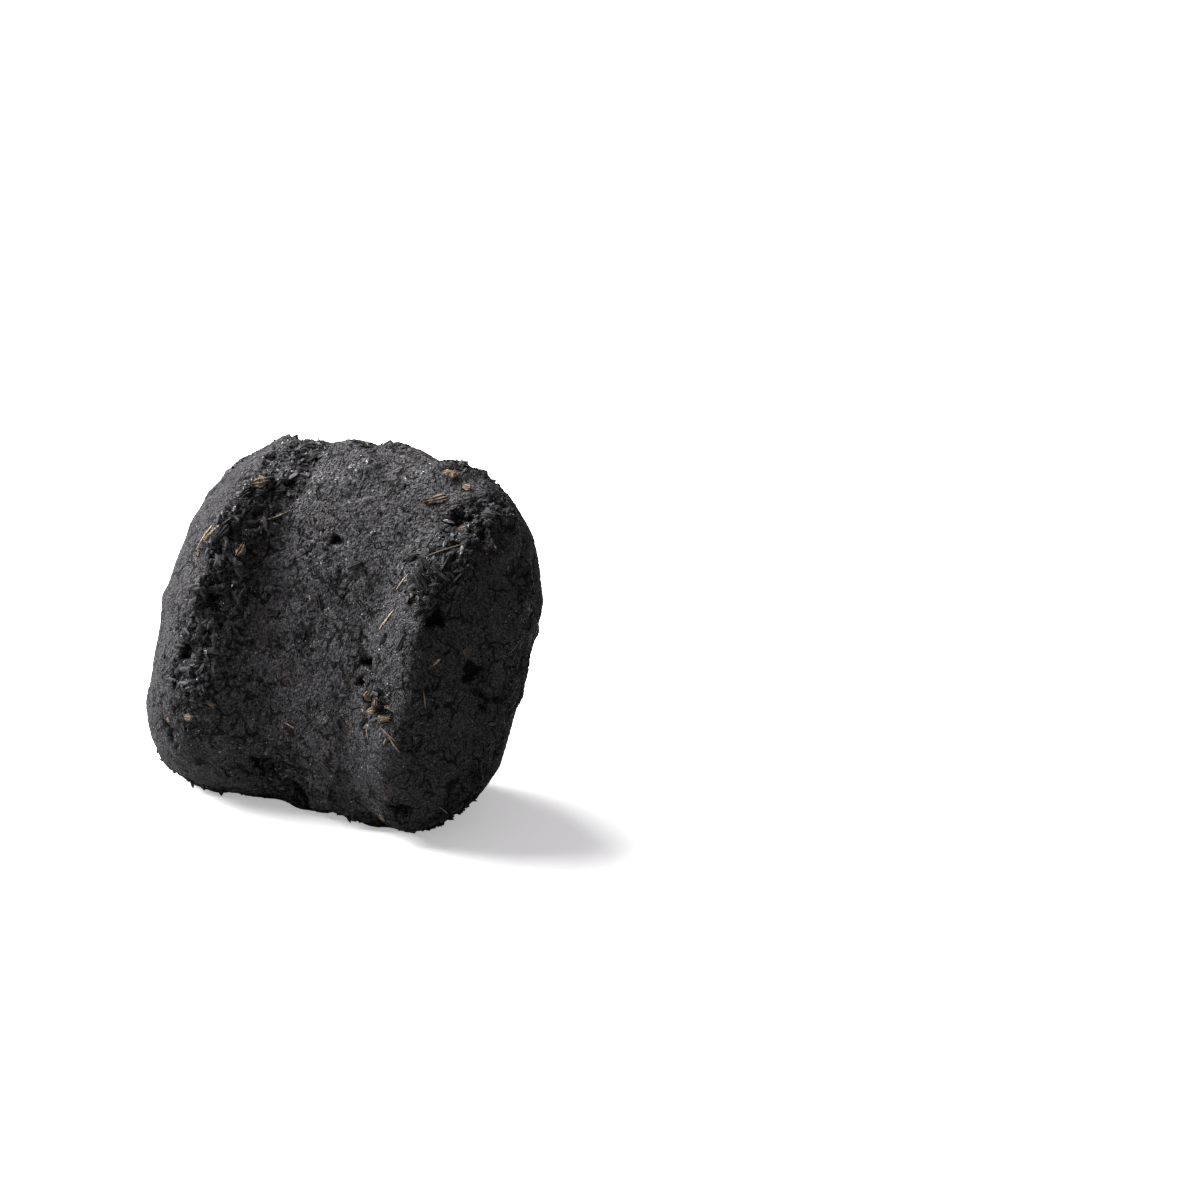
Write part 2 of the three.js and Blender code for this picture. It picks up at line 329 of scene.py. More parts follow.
class TreeMaker:
    """Adds nodes to a node tree and joins them as they are added."""

    def __init__(self, tree):
        self.tree = tree

    def add(self, kind, values=None, **settings):
        """Adds a node. A value is a number, a vector or another node's output."""
        made = self.tree.nodes.new(kind)
        row, column = divmod(len(self.tree.nodes), 12)
        made.location = (190 * column, -260 * row)
        for name, value in settings.items():
            setattr(made, name, value)
        for name, value in (values or {}).items():
            feed(self.tree, value, made.inputs[name])
        return made

    def math(self, operation, first, second=0.0, clamp=False):
        values = {0: first, 1: second}
        made = self.add("ShaderNodeMath", values, operation=operation, use_clamp=clamp)
        return made.outputs[0]

    def vector(self, operation, first, second=(0, 0, 0), scale=None):
        values = {0: first, 1: second} if scale is None else {0: first, "Scale": scale}
        made = self.add("ShaderNodeVectorMath", values, operation=operation)
        return made.outputs["Value" if operation == "DOT_PRODUCT" else "Vector"]

    def between(self, value, low, high, start=0.0, end=1.0, smooth=True):
        """Takes a value from the range low to high over to the range start to end."""
        kind = "SMOOTHSTEP" if smooth else "LINEAR"
        values = {"Value": value, 1: low, 2: high, 3: start, 4: end}
        made = self.add("ShaderNodeMapRange", values, interpolation_type=kind)
        return made.outputs["Result"]

    def noise(self, place, scale, detail=2.0, rough=0.5, output=0):
        values = {"Vector": place, "Scale": scale, "Detail": detail, "Roughness": rough}
        return self.add("ShaderNodeTexNoise", values).outputs[output]

    def part(self, colour, name):
        """X, Y or Z of a colour or a vector."""
        return self.add("ShaderNodeSeparateXYZ", {0: colour}).outputs[name]

    def cells(self, place, scale, feature="F1"):
        values = {"Vector": place, "Scale": scale, "Randomness": 1.0}
        return self.add("ShaderNodeTexVoronoi", values, feature=feature)

    def centred(self, colour):
        """A colour with its channels from -0.5 to 0.5 in place of 0 to 1."""
        return self.vector("SUBTRACT", colour, (0.5, 0.5, 0.5))

    def frayed(self, place, scale, amount):
        """A place pushed about by noise, so that the edges of its cells fray."""
        push = self.centred(self.noise(place, scale, output=1))
        return self.vector("ADD", place, self.vector("SCALE", push, scale=amount))

    def turned(self, place, patch):
        """A place turned to a direction of its own in each patch."""
        turn = self.vector("SCALE", patch.outputs["Color"], scale=2 * math.pi)
        values = {"Vector": place, "Rotation": turn}
        made = self.add("ShaderNodeVectorRotate", values, rotation_type="EULER_XYZ")
        return made.outputs[0]

    def holes(self, place, scale, spots, rim, bottom):
        """1 in the middles of cells and 0 outside, with ragged rims."""
        ragged = self.noise(place, scale)
        reach = self.between(ragged, 0.3, 0.7, 0.08, 0.42, smooth=False)
        inside = self.math("SUBTRACT", reach, spots.outputs["Distance"])
        return self.between(inside, rim, bottom)


def new_tree(name, kind, inputs, outputs):
    """A node tree with named sockets, its maker and what it is given."""
    tree = bpy.data.node_groups.new(name, kind)
    for side, sockets in (("INPUT", inputs), ("OUTPUT", outputs)):
        for socket, holds in sockets.items():
            tree.interface.new_socket(socket, in_out=side, socket_type=f"NodeSocket{holds}")
    make = TreeMaker(tree)
    return tree, make, make.add("NodeGroupInput").outputs


# ---- shader groups that several materials share ----


def fibre_group():
    """Short fibres: patches of fine streaks, each patch with a direction of its own."""
    tree, make, given = new_tree(
        "Pressed fibres",
        "ShaderNodeTree",
        {"Vector": "Vector", "Patch": "Float", "Fibre": "Float", "Length": "Float"},
        {"Height": "Float", "Patch shade": "Float", "Turned": "Vector"},
    )
    patch_scale = make.math("DIVIDE", 1.0, given["Patch"])
    fray_scale = make.math("MULTIPLY", patch_scale, 2.2)
    amount = make.math("MULTIPLY", given["Patch"], 0.9)
    patch = make.cells(make.frayed(given["Vector"], fray_scale, amount), patch_scale)
    turned = make.turned(given["Vector"], patch)
    squeeze = make.add("ShaderNodeCombineXYZ", {0: 1.0, 1: given["Length"], 2: given["Length"]})
    drawn = make.vector("MULTIPLY", turned, squeeze.outputs[0])
    scale = make.math("DIVIDE", 1.0, make.math("MULTIPLY", given["Fibre"], given["Length"]))
    streaks = make.noise(drawn, scale, rough=0.55)
    shade = make.part(patch.outputs["Color"], "Y")
    make.add("NodeGroupOutput", {"Height": streaks, "Patch shade": shade, "Turned": turned})
    return tree


def grain_group():
    """Crushed grains lying side by side, with small pits left out between them."""
    tree, make, given = new_tree(
        "Pressed grain",
        "ShaderNodeTree",
        {"Vector": "Vector", "Grain": "Float", "Pits": "Float"},
        {"Height": "Float", "Tone": "Float", "Pit": "Float"},
    )
    place = given["Vector"]
    scale = make.math("DIVIDE", 1.0, given["Grain"])
    amount = make.math("MULTIPLY", given["Grain"], 0.6)
    frayed = make.frayed(place, make.math("MULTIPLY", scale, 1.2), amount)
    cell = make.cells(frayed, scale)
    offset = make.vector("SUBTRACT", frayed, cell.outputs["Position"])
    offset = make.vector("SCALE", offset, scale=scale)
    tilt = make.vector("DOT_PRODUCT", offset, make.centred(cell.outputs["Color"]))
    crown = make.math("MULTIPLY", cell.outputs["Distance"], -0.55)
    height = make.math("ADD", make.math("MULTIPLY", tilt, 1.5), crown)
    fine = make.noise(place, make.math("MULTIPLY", scale, 2.6))
    height = make.math("ADD", height, make.math("MULTIPLY", fine, 0.14))
    spots = make.cells(frayed, make.math("MULTIPLY", scale, 0.34))
    chosen = make.math("LESS_THAN", make.part(spots.outputs["Color"], "X"), given["Pits"])
    hole = make.holes(place, make.math("MULTIPLY", scale, 0.9), spots, 0.0, 0.14)
    hole = make.math("MULTIPLY", hole, chosen)
    height = make.math("SUBTRACT", height, make.math("MULTIPLY", hole, 1.6))
    tone = make.part(cell.outputs["Color"], "Y")
    make.add("NodeGroupOutput", {"Height": height, "Tone": tone, "Pit": hole})
    return tree


def crack_group():
    """Thin wandering cracks round parts of the pressed flakes."""
    tree, make, given = new_tree(
        "Thin cracks",
        "ShaderNodeTree",
        {"Vector": "Vector", "Flake": "Float", "Width": "Float", "Share": "Float"},
        {"Crack": "Float"},
    )
    place = given["Vector"]
    scale = make.math("DIVIDE", 1.0, given["Flake"])
    amount = make.math("MULTIPLY", given["Flake"], 0.75)
    frayed = make.frayed(place, make.math("MULTIPLY", scale, 1.7), amount)
    edge = make.cells(frayed, scale, feature="DISTANCE_TO_EDGE").outputs["Distance"]
    edge = make.math("MULTIPLY", edge, given["Flake"])
    where = make.noise(place, make.math("MULTIPLY", scale, 0.9))
    limit = make.math("SUBTRACT", 1.0, given["Share"])
    limit = make.between(limit, 0.0, 1.0, 0.25, 0.75, smooth=False)
    open_here = make.math("SUBTRACT", where, limit)
    open_here = make.between(open_here, 0.0, 0.12, smooth=False)
    width = make.math("MULTIPLY", open_here, given["Width"])
    near = make.math("DIVIDE", edge, make.math("ADD", width, NEARLY_NOTHING))
    crack = make.math("MULTIPLY", make.between(near, 1.0, 0.35), make.between(open_here, 0, 0.3))
    make.add("NodeGroupOutput", {"Crack": crack})
    return tree


def dust_group():
    """Broad patches where dust lies thicker, broken up by smaller ones."""
    tree, make, given = new_tree(
        "Dusty patches",
        "ShaderNodeTree",
        {"Vector": "Vector", "Patch": "Float"},
        {"Dust": "Float"},
    )
    scale = make.math("DIVIDE", 1.0, given["Patch"])
    broad = make.noise(given["Vector"], scale, detail=3.0, rough=0.6)
    small = make.noise(given["Vector"], make.math("MULTIPLY", scale, 9.0))
    mixed = make.math("ADD", make.math("MULTIPLY", broad, 0.65), make.math("MULTIPLY", small, 0.35))
    make.add("NodeGroupOutput", {"Dust": make.between(mixed, 0.36, 0.64)})
    return tree


def place_group(make, name, build, values):
    """Places a shader group, which is built the first time it is asked for."""
    tree = bpy.data.node_groups.get(name) or build()
    return make.add("ShaderNodeGroup", values, node_tree=tree).outputs


def fibres_at(make, place, patch, fibre, length):
    values = {"Vector": place, "Patch": patch * MM, "Fibre": fibre * MM, "Length": length}
    return place_group(make, "Pressed fibres", fibre_group, values)


def grain_at(make, place, grain, pits):
    values = {"Vector": place, "Grain": grain * MM, "Pits": pits}
    return place_group(make, "Pressed grain", grain_group, values)


def cracks_at(make, place, flake, width, share):
    values = {"Vector": place, "Flake": flake * MM, "Width": width * MM, "Share": share}
    return place_group(make, "Thin cracks", crack_group, values)["Crack"]


def dust_at(make, place, patch):
    values = {"Vector": place, "Patch": patch * MM}
    return place_group(make, "Dusty patches", dust_group, values)["Dust"]


def mix_colour(make, share, first, second):
    """Mixes two colours, given as outputs or as red, green and blue."""
    values = {0: share}
    for socket, colour in ((6, first), (7, second)):
        made_by_node = isinstance(colour, bpy.types.NodeSocket)
        values[socket] = colour if made_by_node else (*colour, 1.0)
    return make.add("ShaderNodeMix", values, data_type="RGBA").outputs[2]


def bump_of(make, height, strength, distance):
    values = {"Height": height, "Strength": strength, "Distance": distance * MM}
    return make.add("ShaderNodeBump", values).outputs[0]


def new_material(name):
    """A material, its Principled surface, a maker for its tree and the object's places."""
    material = bpy.data.materials.new(name)
    material.use_nodes = True
    surface = material.node_tree.nodes["Principled BSDF"]
    make = TreeMaker(material.node_tree)
    return material, surface, make, make.add("ShaderNodeTexCoord").outputs["Object"]


def stored(make, name):
    """A value that the mesh stores at its points, read in a material."""
    return make.add("ShaderNodeAttribute", attribute_name=name).outputs["Fac"]


def connect(make, surface, values):
    for name, value in values.items():
        feed(make.tree, value, surface.inputs[name])


def charcoal_material(colours):
    """Pressed charcoal: dusty and grained where smooth, darker and glinting where loose."""
    material, surface, make, place = new_material("Pressed charcoal")
    loose = stored(make, "loose")
    hollow_shade = stored(make, "hollow_shade")

    fibres = fibres_at(make, place, 2.2, 0.2, 4.5)
    grain = grain_at(make, place, 0.34, 0.2)
    dust = dust_at(make, place, 5)
    wide = cracks_at(make, place, 3.0, 0.27, 0.55)
    drawn = make.vector("MULTIPLY", fibres["Turned"], (0.45, 1.0, 1.0))
    often = make.between(loose, 0.08, 0.6, 0.2, 0.62)
    crack = make.math("MAXIMUM", wide, cracks_at(make, drawn, 1.3, 0.17, often))

    # Dust on high streaks and grains; bare char and painted shade keep pits, cracks, hollows black.
    high = make.between(fibres["Height"], 0.4, 0.64, smooth=False)
    patch = make.between(fibres["Patch shade"], 0.0, 1.0, 0.7, 1.0, smooth=False)
    share = make.math("MULTIPLY", make.math("MULTIPLY", high, patch), 0.4)
    share = make.math("ADD", share, make.math("MULTIPLY", grain["Tone"], 0.42))
    share = make.math("ADD", share, make.math("MULTIPLY", dust, 0.16))
    share = make.between(share, 0.15, 0.75, 0.19, 0.78)
    black = make.math("MAXIMUM", make.math("MAXIMUM", grain["Pit"], crack), hollow_shade)
    kept = make.math("SUBTRACT", 1.0, make.math("MULTIPLY", black, 0.96))
    # Painted shade among the crumbs: the body is darker where the surface is loose.
    darkened = make.between(loose, 0.25, 0.8, 1.0, 0.45)
    share = make.math("MULTIPLY", make.math("MULTIPLY", share, kept), darkened, clamp=True)
    colour = mix_colour(make, share, colours.char, colours.dust)

    # A little half burnt wood shows through as brown in a few patches.
    brown = make.noise(place, 1 / (2.6 * MM), detail=1.0)
    brown = make.math("MULTIPLY", make.between(brown, 0.64, 0.74), high)
    brown = make.math("MULTIPLY", brown, kept)
    colour = mix_colour(make, make.math("MULTIPLY", brown, 0.5), colour, colours.toasted)

    # Single bright grains.
    grains = make.cells(place, 1 / (0.5 * MM))
    pick = grains.outputs["Color"]
    bright = make.math("GREATER_THAN", make.part(pick, "X"), 0.97)
    near = make.between(grains.outputs["Distance"], 0.3, 0.2)
    bright = make.math("MULTIPLY", bright, make.math("MULTIPLY", near, make.part(pick, "Z")))
    bright = make.math("MULTIPLY", bright, kept)
    colour = mix_colour(make, make.math("MULTIPLY", bright, 0.7), colour, colours.speck)

    # Broken char faces shine a little, more of them where the surface is loose.
    facet = make.between(grain["Tone"], 0.9, 0.94)
    facet = make.math("MULTIPLY", facet, make.between(loose, 0.0, 1.0, 0.15, 1.0, smooth=False))
    gloss = make.math("MULTIPLY", make.math("MULTIPLY", facet, kept), 0.7)
    gloss = make.math("MAXIMUM", gloss, bright)
    rough = make.between(dust, 0.0, 1.0, 0.66, 0.84, smooth=False)

    height = make.math("MULTIPLY", fibres["Height"], 0.5)
    height = make.math("ADD", height, make.math("MULTIPLY", grain["Height"], 0.6))
    height = make.math("SUBTRACT", height, make.math("MULTIPLY", crack, 0.8))
    connect(
        make, surface,
        {
            "Base Color": colour, "Roughness": rough, "Normal": bump_of(make, height, 1.0, 1.7),
            "Specular IOR Level": 0.12, "Coat Weight": gloss, "Coat Roughness": 0.22,
        },
    )
    return material


def char_material(colours):
    """Broken char: black, with the streaks of its wood and a dull gloss."""
    material, surface, make, place = new_material("Broken char")
    shade = stored(make, "shade")
    fibres = fibres_at(make, place, 1.1, 0.1, 8.0)
    dust = dust_at(make, place, 2)
    share = make.between(fibres["Height"], 0.35, 0.7, 0.45, 1.0)
    share = make.math("MULTIPLY", share, make.between(dust, 0.0, 1.0, 0.6, 1.0))
    tint = make.between(shade, 0.0, 1.0, 0.05, 0.9, smooth=False)
    share = make.math("MULTIPLY", share, tint)
    colour = mix_colour(make, share, colours.char, colours.dust)
    rough = make.between(shade, 0.0, 1.0, 0.78, 0.6, smooth=False)
    gloss = make.between(shade, 0.82, 1.0, 0.0, 0.7)
    gloss = make.math("MULTIPLY", gloss, make.between(dust, 0.75, 0.35))
    bump = bump_of(make, fibres["Height"], 0.9, 0.09)
    connect(
        make, surface,
        {
            "Base Color": colour, "Roughness": rough, "Normal": bump,
            "Specular IOR Level": 0.08, "Coat Weight": gloss, "Coat Roughness": 0.2,
        },
    )
    return material


def wood_material(colours):
    """Wood from pale to toasted, with fine grain and sooty patches."""
    material, surface, make, place = new_material("Unburnt wood")
    shade = stored(make, "shade")
    fibres = fibres_at(make, place, 3.0, 0.16, 6.0)
    soot = dust_at(make, place, 1.2)
    tone = mix_colour(make, shade, colours.toasted, colours.wood)
    dark = make.math("MULTIPLY", make.between(fibres["Height"], 0.58, 0.42), 0.6)
    tone = mix_colour(make, dark, tone, colours.toasted)
    darkened = make.math("MULTIPLY", soot, make.between(shade, 0, 1, 0.95, 0.6, smooth=False))
    tone = mix_colour(make, darkened, tone, colours.char)
    bump = bump_of(make, fibres["Height"], 0.8, 0.06)
    connect(
        make, surface,
        {"Base Color": tone, "Roughness": 0.68, "Normal": bump, "Specular IOR Level": 0.35},
    )
    return material


def speck_material(colours):
    """Bright specks: mineral and ash grains, the brighter ones glossier."""
    material, surface, make, place = new_material("Bright specks")
    shade = stored(make, "shade")
    grain = grain_at(make, place, 0.12, 0.0)
    share = make.math("MULTIPLY", shade, make.between(grain["Height"], -0.4, 0.1))
    colour = mix_colour(make, share, colours.dust, colours.speck)
    rough = make.between(shade, 0.0, 1.0, 0.5, 0.25, smooth=False)
    connect(make, surface, {"Base Color": colour, "Roughness": rough})
    return material


def material_named(name, build, colours):
    return bpy.data.materials.get(name) or build(colours)


# ---- geometry trees ----


def tilted_cells(make, place, size, steepness, step):
    """Height of a mosaic of flat cells, each tilted its own way with broken edges."""
    scale = make.math("DIVIDE", 1.0, size)
    amount = make.math("MULTIPLY", size, 0.7)
    frayed = make.frayed(place, make.math("MULTIPLY", scale, 2.0), amount)
    cell = make.cells(frayed, scale)
    lean = make.centred(cell.outputs["Color"])
    offset = make.vector("SUBTRACT", frayed, cell.outputs["Position"])
    tilt = make.math("MULTIPLY", make.vector("DOT_PRODUCT", offset, lean), steepness)
    tilt = make.math("MULTIPLY", tilt, 2.0)
    rise = make.math("MULTIPLY", make.part(lean, "X"), make.math("MULTIPLY", size, step))
    return make.math("ADD", tilt, rise)


def relief_tree():
    """Raises tilted flakes and splinters and sinks pits into the pillow's surface."""
    tree, make, given = new_tree(
        "Charcoal relief",
        "GeometryNodeTree",
        {
            "Geometry": "Geometry",
            "Flake size": "Float",
            "Flake steepness": "Float",
            "Splinter size": "Float",
            "Splinter steepness": "Float",
            "Pit depth": "Float",
            "Seed": "Int",
            "Material": "Material",
        },
        {"Geometry": "Geometry"},
    )
    position = make.add("GeometryNodeInputPosition").outputs[0]
    shift = make.math("MULTIPLY", given["Seed"], 0.037)
    place = make.vector("ADD", position, make.add("ShaderNodeCombineXYZ", {0: shift}).outputs[0])
    loose = named(make, "loose")
    bedded = named(make, "bedded")

    # Patchy looseness: even the crumbled bands have sound places and the other way round.
    patchy = make.noise(place, 1 / (5 * MM))
    share = make.math("MULTIPLY", loose, make.between(patchy, 0.3, 0.6, 0.45, 1.15))

    flakes = tilted_cells(make, place, given["Flake size"], given["Flake steepness"], 0.16)
    flakes = make.math("MULTIPLY", flakes, share)

    # Splinters lie in patches, each patch with a direction of its own.
    turned = make.turned(place, make.cells(place, 1 / (3.4 * MM)))
    drawn = make.vector("MULTIPLY", turned, (0.36, 1.0, 1.0))
    steep = given["Splinter steepness"]
    splinters = tilted_cells(make, drawn, given["Splinter size"], steep, 0.2)
    strength = make.between(share, 0.0, 0.8, 0.2, 1.1, smooth=False)
    splinters = make.math("MULTIPLY", splinters, strength)

    grain = make.noise(place, 1 / (0.75 * MM), detail=3.0, rough=0.6)
    grain = make.math("MULTIPLY", make.math("SUBTRACT", grain, 0.5), 0.3 * MM)
    grain = make.math("MULTIPLY", grain, make.between(share, 0, 1, 0.4, 1.3, smooth=False))

    # Pits: a few holes between the flakes, more of them where the surface is loose.
    spots = make.cells(place, 1 / (2.1 * MM))
    chance = make.part(spots.outputs["Color"], "Z")
    limit = make.between(share, 0.0, 1.0, 0.08, 0.3, smooth=False)
    chosen = make.math("LESS_THAN", chance, limit)
    hole = make.holes(place, 1 / (0.9 * MM), spots, -0.05, 0.2)
    hole = make.math("MULTIPLY", hole, chosen)
    hole = make.math("MULTIPLY", hole, make.between(share, 0, 1, 0.55, 1.0, smooth=False))
    sunk = make.math("MULTIPLY", hole, given["Pit depth"])

    height = make.math("ADD", make.math("ADD", flakes, splinters), grain)
    height = make.math("SUBTRACT", height, sunk)
    height = make.math("MULTIPLY", height, bedded)
    normal = make.add("GeometryNodeInputNormal").outputs[0]
    moved = make.add(
        "GeometryNodeSetPosition",
        {"Geometry": given["Geometry"], "Offset": make.vector("SCALE", normal, scale=height)},
    ).outputs[0]

    # How deep each place lies under its surroundings, for the painted shade put in the hollows.
    low = make.between(height, -0.1 * MM, -0.6 * MM, 0.0, 1.0)
    kept = keep_value(make, moved, "hollow_shade", make.math("MAXIMUM", low, named(make, "dug")))
    kept = keep_value(make, kept, "loose", share)

    # Where bits may be bedded: not on the foot, which has to stay flat.
    clear = make.between(make.part(position, "Z"), 1.2 * MM, 3.5 * MM)
    rich = make.between(share, 0.22, 0.75)
    kept = keep_value(make, kept, "bits", make.math("MULTIPLY", rich, clear))
    mostly = make.between(rich, 0.0, 1.0, 0.1, 1.0, smooth=False)
    kept = keep_value(make, kept, "sprinkle", make.math("MULTIPLY", mostly, clear))
    finish_tree(make, make.add("GeometryNodeRealizeInstances", {"Geometry": kept}), given)
    return tree


def finish_tree(make, node, given):
    """Gives what a node makes its material and hands it out of the tree."""
    values = {"Geometry": node.outputs[0], "Material": given["Material"]}
    done = make.add("GeometryNodeSetMaterial", values).outputs[0]
    make.add("NodeGroupOutput", {"Geometry": done})


def named(make, name):
    """A named value stored on the mesh's points."""
    made = make.add("GeometryNodeInputNamedAttribute", {"Name": name}, data_type="FLOAT")
    return made.outputs["Attribute"]


def keep_value(make, geometry, name, value, domain="POINT"):
    """Stores a value on the geometry under a name."""
    values = {"Geometry": geometry, "Name": name, "Value": value}
    settings = {"data_type": "FLOAT", "domain": domain}
    return make.add("GeometryNodeStoreNamedAttribute", values, **settings).outputs[0]


def random_between(make, low, high, seed):
    values = {2: low, 3: high, "Seed": seed}
    return make.add("FunctionNodeRandomValue", values, data_type="FLOAT").outputs[1]


def scatter_tree():
    """Beds small angular bits in a surface, as many as its share value asks for."""
    tree, make, given = new_tree(
        "Bedded bits",
        "GeometryNodeTree",
        {
            "Geometry": "Geometry",
            "Share": "String",
            "Bits to a square metre": "Float",
            "Shortest": "Float",
            "Longest": "Float",
            "Width": "Float",
            "Thickness": "Float",
            "Tip": "Float",
            "Bedding": "Float",
            "Ragged": "Float",
            "Seed": "Int",
            "Material": "Material",
        },
        {"Geometry": "Geometry"},
    )
    seed = given["Seed"]
    density = make.math("MULTIPLY", named(make, given["Share"]), given["Bits to a square metre"])
    spread = make.add(
        "GeometryNodeDistributePointsOnFaces",
        {"Mesh": given["Geometry"], "Density": density, "Seed": seed},
        distribute_method="RANDOM",
    )

    # Each bit is an angular grain, drawn long, narrow and thin.
    sides = {"Radius": 0.5, "Segments": BIT_SIDES, "Rings": 2}
    grain = make.add("GeometryNodeMeshUVSphere", sides).outputs[0]
    length = random_between(make, given["Shortest"], given["Longest"], seed)
    narrow = random_between(make, 0.55, 1.3, make.math("ADD", seed, 11))
    width = make.math("MULTIPLY", make.math("MULTIPLY", length, given["Width"]), narrow)
    thin = random_between(make, 0.6, 1.4, make.math("ADD", seed, 23))
    thickness = make.math("MULTIPLY", make.math("MULTIPLY", length, given["Thickness"]), thin)
    size = make.add("ShaderNodeCombineXYZ", {0: length, 1: width, 2: thickness}).outputs[0]
    tip = given["Tip"]
    against = make.math("MULTIPLY", tip, -1.0)
    lean_x = random_between(make, against, tip, make.math("ADD", seed, 31))
    lean_y = random_between(make, against, tip, make.math("ADD", seed, 43))
    spin = random_between(make, 0.0, 2 * math.pi, make.math("ADD", seed, 59))
    place = make.add(
        "GeometryNodeInstanceOnPoints",
        {
            "Points": spread.outputs["Points"],
            "Instance": grain,
            "Rotation": spread.outputs["Rotation"],
            "Scale": size,
        },
    ).outputs[0]
    spun = turn_instances(make, place, (0.0, 0.0, spin))
    tipped = turn_instances(make, spun, (lean_x, lean_y, 0.0))
    sink = make.math("MULTIPLY", given["Bedding"], -1.0)
    sink = make.math("MULTIPLY", sink, length)
    down = make.add("ShaderNodeCombineXYZ", {2: sink}).outputs[0]
    sunk = make.add(
        "GeometryNodeTranslateInstances",
        {"Instances": tipped, "Translation": down, "Local Space": True},
    ).outputs[0]
    shade = random_between(make, 0.0, 1.0, make.math("ADD", seed, 71))
    toned = keep_value(make, sunk, "shade", shade, domain="INSTANCE")
    joined = make.add("GeometryNodeRealizeInstances", {"Geometry": toned}).outputs[0]

    # Broken faces.
    position = make.add("GeometryNodeInputPosition").outputs[0]
    rough = make.centred(make.noise(position, 1 / (0.3 * MM), detail=1.0, output=1))
    rough = make.vector("SCALE", rough, scale=given["Ragged"])
    values = {"Geometry": joined, "Offset": rough}
    broken = make.add("GeometryNodeSetPosition", values).outputs[0]
    flat = make.add("GeometryNodeSetShadeSmooth", {0: broken, "Shade Smooth": False})
    finish_tree(make, flat, given)
    return tree


def turn_instances(make, instances, angles):
    """Turns each instance about its own axes."""
    turn = make.add("ShaderNodeCombineXYZ", dict(enumerate(angles))).outputs[0]
    values = {"Instances": instances, "Rotation": turn, "Local Space": True}
    return make.add("GeometryNodeRotateInstances", values).outputs[0]


def run_tree(source, tree, values, name):
    """Runs a geometry tree on an object and returns the result as a plain mesh."""
    modifier = source.modifiers.new(tree.name, "NODES")
    modifier.node_group = tree
    for item in tree.interface.items_tree:
        if item.item_type == "SOCKET" and item.in_out == "INPUT" and item.name in values:
            modifier[item.identifier] = values[item.name]
    bpy.context.view_layer.update()
    graph = bpy.context.evaluated_depsgraph_get()
    shown = source.evaluated_get(graph)
    mesh = bpy.data.meshes.new_from_object(shown, preserve_all_data_layers=True, depsgraph=graph)
    source.modifiers.remove(modifier)
    mesh.name = name
    if len(mesh.polygons) == 0:
        raise RuntimeError(f"the tree {tree.name} made nothing for {name}")
    return mesh


# ---- working on the pillow's own places ----


def pillow_places(points):
    """u, v and w in millimetres of points given in metres."""
    local = (np.asarray(points) - np.array(MIDDLE)) / MM
    return local @ np.array(ACROSS), local @ np.array(ALONG), local @ np.array(OUT)


def room_place(u, v, w):
    """The point in metres at a place given in millimetres on the pillow."""
    return MIDDLE + (ACROSS * u + ALONG * v + OUT * w) * MM


def line_at(line, v):
    """u of a gently bent line through its places at v = 20, 0 and -20."""
    t = np.clip(v / 20, -1.3, 1.3)
    top, middle, bottom = line
    return middle + (top - bottom) / 2 * t + ((top + bottom) / 2 - middle) * t * t


def smooth_step(low, high, value):
    t = np.clip((value - low) / (high - low), 0, 1)
    return t * t * (3 - 2 * t)


def loose_share(u, v, w):
    """1 where the charcoal has crumbled, 0 where the mould has left it smooth."""
    seam = np.exp(-((w / SEAM_BAND) ** 2)) * (0.42 + 0.38 * smooth_step(-12, -26, v))
    left = np.exp(-(((u - line_at(LEFT_CREST, v) - 1.6) / CREST_BAND) ** 2))
    left = left * smooth_step(-24, -8, v)
    right = np.exp(-(((u - line_at(RIGHT_CREST, v) + 0.4) / CREST_BAND) ** 2))
    right = right * smooth_step(-22, -6, v) * (0.3 + 0.7 * smooth_step(5, 10, v))
    nest = 0.8 * np.exp(-(((u - 13.5) / 3.2) ** 2 + ((v + 7.5) / 4) ** 2))
    right = np.maximum(right, nest)
    front = np.maximum(left, right)
    floor = 0.25 * smooth_step(12, 4, np.abs(u - 2)) * smooth_step(-30, -10, v)
    foot = 0.8 * np.exp(-(((u + 3) / 6) ** 2 + ((v + 23) / 6) ** 2))
    front = np.maximum(front, np.maximum(floor, foot))
    back = np.exp(-(((np.abs(u) - BACK_CREST) / CREST_BAND) ** 2))
    back = np.maximum(back, 0.17 * smooth_step(12, 4, np.abs(u)))
    crest = np.where(w > 0, front, back)
    return np.clip(np.maximum(seam, crest), 0.05, 1)


def dig_marks(u, v, w):
    """Depth in millimetres of the named holes and cracks at each place."""
    depth = np.zeros_like(u)
    front = smooth_step(-1, 2, w)
    for hole_u, hole_v, across, along, deep in HOLES:
        angle = np.arctan2(v - hole_v, u - hole_u)
        reach = 1 + 0.22 * np.sin(3 * angle + hole_u) + 0.16 * np.sin(5 * angle + hole_v)
        away = np.hypot((u - hole_u) / across, (v - hole_v) / along) / reach
        depth = np.maximum(depth, deep * (1 - smooth_step(0.55, 1.15, away)))
    for u_a, v_a, u_b, v_b, half, deep in CRACKS:
        run = np.array([u_b - u_a, v_b - v_a])
        length = np.hypot(*run)
        along = ((u - u_a) * run[0] + (v - v_a) * run[1]) / length
        side = ((u - u_a) * run[1] - (v - v_a) * run[0]) / length
        side = side + 0.35 * np.sin(along * 2.3 + u_a) + 0.2 * np.sin(along * 5.1)
        ends = smooth_step(-0.4, 1.2, along) * smooth_step(length + 0.4, length - 1.2, along)
        depth = np.maximum(depth, deep * ends * np.exp(-((side / half) ** 2)))
    return depth * front


def set_values(mesh, name, values):
    attribute = mesh.attributes.get(name) or mesh.attributes.new(name, "FLOAT", "POINT")
    attribute.data.foreach_set("value", values.astype(np.float32))


